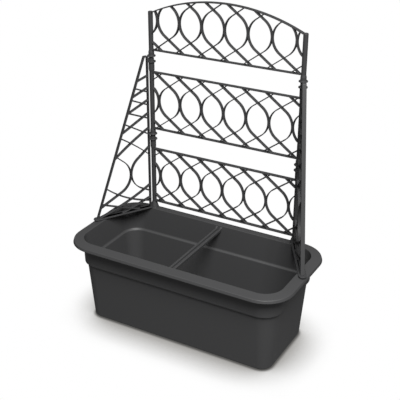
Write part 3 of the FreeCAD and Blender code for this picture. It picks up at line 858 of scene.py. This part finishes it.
def clip(bottom):
    """Open ring round a neck, as a bar carried round an arc and laid flat, and its web."""
    middle = CLIP_INSIDE + CLIP_WALL / 2
    half_mouth = math.asin(MOUTH / 2 / middle)
    turn = np.linspace(-math.pi + half_mouth, math.pi - half_mouth, CLIP_STEPS)
    ring = carried(middle * np.column_stack([np.cos(turn), np.sin(turn)]), CLIP_WALL, CLIP_HEIGHT)
    laid_flat = Matrix.Rotation(-math.pi / 2, 4, "X")
    flat = Matrix.Translation((0, 0, bottom + CLIP_HEIGHT / 2)) @ laid_flat
    web = bar_box((middle, -CLIP_WEB / 2, bottom + CLIP_WEB_SHORTER),
                  (UPRIGHT, CLIP_WEB / 2, bottom + CLIP_HEIGHT - CLIP_WEB_SHORTER))
    return [moved(ring, flat), web]


for level in ("lower", "middle"):
    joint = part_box("right_post_" + level)[1].z
    brace_skins += clip(joint + CLIP_GAP)
    print("a clip sits at", round(joint + CLIP_GAP, 3))

# %% Stand the braces on their posts
for name, sense in (("left_brace", -1), ("right_brace", 1)):
    turn = Matrix.Rotation(-math.pi / 2 + sense * BRACE_TURN, 4, "Z")
    stand = Matrix.Translation((sense * post_x, post_y, 0)) @ turn
    piece(name, [moved(s, stand) for s in brace_skins], trellis_plastic, name, body=name)

# %% [markdown]
# ## Floor and light
# One large softbox stands to the right of the camera, high up. It lights the tops most, and the
# front and right walls about half as much, inside the tub as well as outside. It also draws the
# shadows: under the rim, and down to the left behind the strut. All round it a weak even light
# fills in. The floor and the world are plain white only for the camera, so the white page
# doesn't throw light back under the rim, and a painted shade darkens the floor where the tub
# stands.

# %% World


def white_for_camera(tree, light, white, target):
    """Swap a light for plain white, for the rays that come straight from the camera."""
    path = tree.nodes.new("ShaderNodeLightPath")
    mix = tree.nodes.new("ShaderNodeMixShader")
    tree.links.new(path.outputs["Is Camera Ray"], mix.inputs[0])
    tree.links.new(light.outputs[0], mix.inputs[1])
    tree.links.new(white.outputs[0], mix.inputs[2])
    tree.links.new(mix.outputs[0], target)


FILL = 0.17
world = bpy.data.worlds.new("studio")
world.use_nodes = True
bpy.context.scene.world = world
sky = world.node_tree.nodes["Background"]
sky.inputs["Color"].default_value = (1, 1, 1, 1)
sky.inputs["Strength"].default_value = FILL
page = world.node_tree.nodes.new("ShaderNodeBackground")
page.inputs["Color"].default_value = (1, 1, 1, 1)
world_surface = world.node_tree.nodes["World Output"].inputs["Surface"]
white_for_camera(world.node_tree, sky, page, world_surface)
print("the even light has strength", FILL)

# %% [markdown]
# In the picture the floor is a white page, and the planter only leaves a soft, slightly warm
# shadow right around its foot, with a thin darker line where it touches the floor. Both are
# places where the tub hides the open space from the floor, and both are painted shade: the
# floor's colour for the camera comes from two Ambient Occlusion nodes. Each gives the share of the
# space above a spot that is open, out to a set distance: 17 cm for the soft shadow and 13 mm for
# the thin line. At the foot of a wall about half is open, so a ramp from there to nearly all open
# turns each share into a painted shade, and the two shades are multiplied.

# %% Floor
# Each painted shade: distance looked out to, darkest colour, and the open shares between which it
# fades.
SOFT_SHADOW = (170 * MM, (0.36, 0.35, 0.335), 0.48, 0.9)
CONTACT_LINE_SHADE = (13 * MM, (0.3, 0.3, 0.3), 0.5, 0.95)
FLOOR_SIZE = 40
FLOOR_GREY, FLOOR_ROUGHNESS = (0.12, 0.12, 0.12, 1), 0.9
OPEN_SAMPLES = 16
COLOUR_A, COLOUR_B, COLOUR_RESULT = 6, 7, 2  # the Mix node's own colour sockets


def open_shade(tree, distance, darkest, fades_from, fades_to):
    """Painted shade: colour that runs from dark to white with the share of space open within a
    distance.
    """
    open_share = tree.nodes.new("ShaderNodeAmbientOcclusion")
    open_share.samples = OPEN_SAMPLES
    open_share.inputs["Distance"].default_value = distance
    shade = tree.nodes.new("ShaderNodeValToRGB")
    shade.color_ramp.elements[0].position = fades_from
    shade.color_ramp.elements[0].color = (*darkest, 1)
    shade.color_ramp.elements[1].position = fades_to
    tree.links.new(open_share.outputs["AO"], shade.inputs["Fac"])
    return shade.outputs["Color"]


def studio_floor():
    """Large floor: grey to the tub, and to the camera a white page with painted shade where less
    is open.
    """
    bpy.ops.mesh.primitive_plane_add(size=FLOOR_SIZE)
    floor = bpy.context.object
    floor.name = "studio_floor"
    material = bpy.data.materials.new("studio floor")
    material.use_nodes = True
    tree = material.node_tree
    matt = tree.nodes["Principled BSDF"]
    matt.inputs["Base Color"].default_value = FLOOR_GREY
    matt.inputs["Roughness"].default_value = FLOOR_ROUGHNESS
    both = tree.nodes.new("ShaderNodeMix")
    both.data_type = "RGBA"
    both.blend_type = "MULTIPLY"
    both.inputs["Factor"].default_value = 1
    # Painted shade: the two ramps darken the white page's glow for the camera near the tub's foot.
    for socket, shade in ((COLOUR_A, SOFT_SHADOW), (COLOUR_B, CONTACT_LINE_SHADE)):
        tree.links.new(open_shade(tree, *shade), both.inputs[socket])
    page_glow = tree.nodes.new("ShaderNodeEmission")
    tree.links.new(both.outputs[COLOUR_RESULT], page_glow.inputs["Color"])
    white_for_camera(tree, matt, page_glow, tree.nodes["Material Output"].inputs["Surface"])
    floor.data.materials.append(material)
    floor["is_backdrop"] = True
    print("the floor is", FLOOR_SIZE, "m wide")


studio_floor()

# %% Softbox
LAMP_AIM = Vector((0, 0, 0.3))


def softbox(name, azimuth, height_angle, distance, size, watts):
    """Square area lamp at angles in degrees, measured as the camera's are, that faces the tub."""
    a, e = math.radians(azimuth), math.radians(height_angle)
    away = Vector((math.sin(a) * math.cos(e), -math.cos(a) * math.cos(e), math.sin(e)))
    lamp = bpy.data.lights.new(name, "AREA")
    lamp.size = size
    lamp.energy = watts
    obj = bpy.data.objects.new(name, lamp)
    obj.location = LAMP_AIM + away * distance
    obj.rotation_mode = "QUATERNION"
    obj.rotation_quaternion = away.to_track_quat("Z", "Y")
    bpy.context.scene.collection.objects.link(obj)
    print(name, "lamp:", watts, "W from", distance, "m")


softbox("key", azimuth=41, height_angle=53, distance=4.5, size=2.0, watts=310)

# %% [markdown]
# ## Camera
# The camera stands where the picture was taken from: to the right of the front, a good metre and
# a half up, and a little under three metres away, with a long lens.

# %% Camera
CAMERA_PLACE = (1.2334, -2.1539, 1.6675)
CAMERA_AZIMUTH = math.radians(29.46)
CAMERA_DOWN = math.radians(25.85)
CAMERA_ROLL = math.radians(0.17)
SENSOR_WIDTH, FOCAL_LENGTH = 36, 77.37
camera_data = bpy.data.cameras.new("camera")
camera_data.sensor_width = SENSOR_WIDTH
camera_data.lens = FOCAL_LENGTH
camera = bpy.data.objects.new("camera", camera_data)
camera.location = CAMERA_PLACE
camera.rotation_mode = "QUATERNION"
tilt = Matrix.Rotation(math.pi / 2 - CAMERA_DOWN, 4, "X")
turned_view = Matrix.Rotation(CAMERA_AZIMUTH, 4, "Z") @ tilt
camera.rotation_quaternion = (turned_view @ Matrix.Rotation(CAMERA_ROLL, 4, "Z")).to_quaternion()
bpy.context.scene.collection.objects.link(camera)
bpy.context.scene.camera = camera
bpy.context.scene.view_settings.view_transform = "Standard"
print("the camera's lens:", FOCAL_LENGTH, "mm")

# %% Overall size
low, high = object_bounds()
print("the planter measures", [round(v, 3) for v in high - low])
